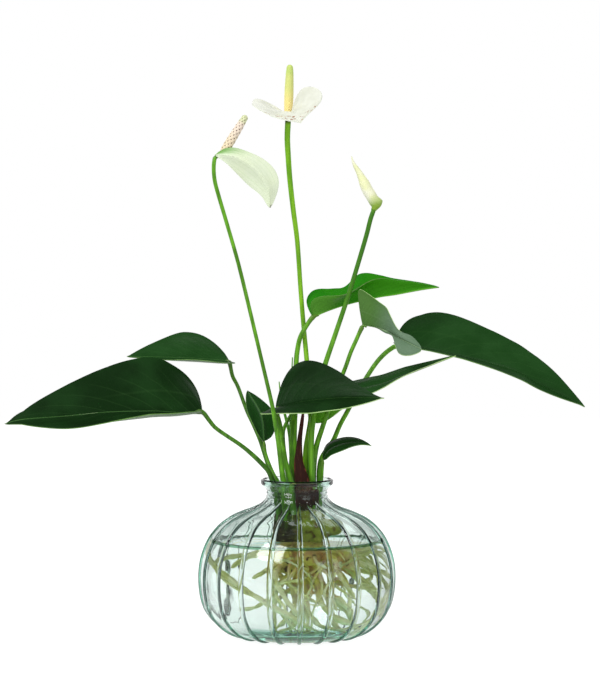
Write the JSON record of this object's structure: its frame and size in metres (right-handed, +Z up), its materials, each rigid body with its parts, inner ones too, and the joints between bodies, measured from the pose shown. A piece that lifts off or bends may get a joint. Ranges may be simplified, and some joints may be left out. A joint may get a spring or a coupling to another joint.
{
  "type": "anthurium plant in a glass vase",
  "caption": "Flowering houseplant with heart-shaped leaves, tall spathe flowers and bare roots, growing in water in a ribbed bulb-shaped glass vase.",
  "frame": {"origin": "centre of the vase's flat foot, on the surface that it stands on", "axes": "+Z up along the vase's axis; -Y towards the side that the plant shows; +X to the right as seen from there"},
  "size_m": [0.4222, 0.1448, 0.4211],
  "materials": {
    "glass": "clear pale aqua pressed glass with ribs",
    "water": "clear water",
    "roots": "smooth fleshy olive roots with brown patches",
    "crown": "rough brown and olive rootstock",
    "bract": "dry dark red-brown sheath",
    "young_leaf": "fresh green rolled leaf",
    "dark_leaf": "glossy dark green leaf",
    "bright_leaf": "soft bright green young leaf",
    "pale_leaf": "pale grey-green leaf underside",
    "stalk": "smooth yellow-green stalk",
    "spathe": "waxy white spathe with a green tinge",
    "closed_spathe": "rolled cream spathe, green at the base",
    "brown_spadix": "beige-pink spadix with a dark lattice",
    "yellow_spadix": "yellow spadix, greener at the tip"
  },
  "bodies": {
    "root": {"vase": "glass", "water": "water", "roots": "roots", "crown": "crown", "bract": "bract", "young_leaf_1": "young_leaf", "young_leaf_2": "young_leaf", "leaf_1_blade": "dark_leaf", "leaf_1_stalk": "stalk", "leaf_2_blade": "dark_leaf", "leaf_2_stalk": "stalk", "leaf_3_blade": "dark_leaf", "leaf_3_stalk": "stalk", "leaf_4_blade": "dark_leaf", "leaf_4_stalk": "stalk", "leaf_5_blade": "bright_leaf", "leaf_5_stalk": "stalk", "leaf_6_blade": "pale_leaf", "leaf_6_stalk": "stalk", "leaf_7_blade": "dark_leaf", "leaf_7_stalk": "stalk", "leaf_8_blade": "dark_leaf", "leaf_8_stalk": "stalk", "leaf_9_blade": "dark_leaf", "leaf_9_stalk": "stalk", "flower_1_stem": "stalk", "flower_1_spathe": "spathe", "flower_1_spadix": "brown_spadix", "flower_2_stem": "stalk", "flower_2_spathe": "spathe", "flower_2_spadix": "yellow_spadix", "flower_3_stem": "stalk", "flower_3_spathe": "closed_spathe"}
  },
  "joints": []
}
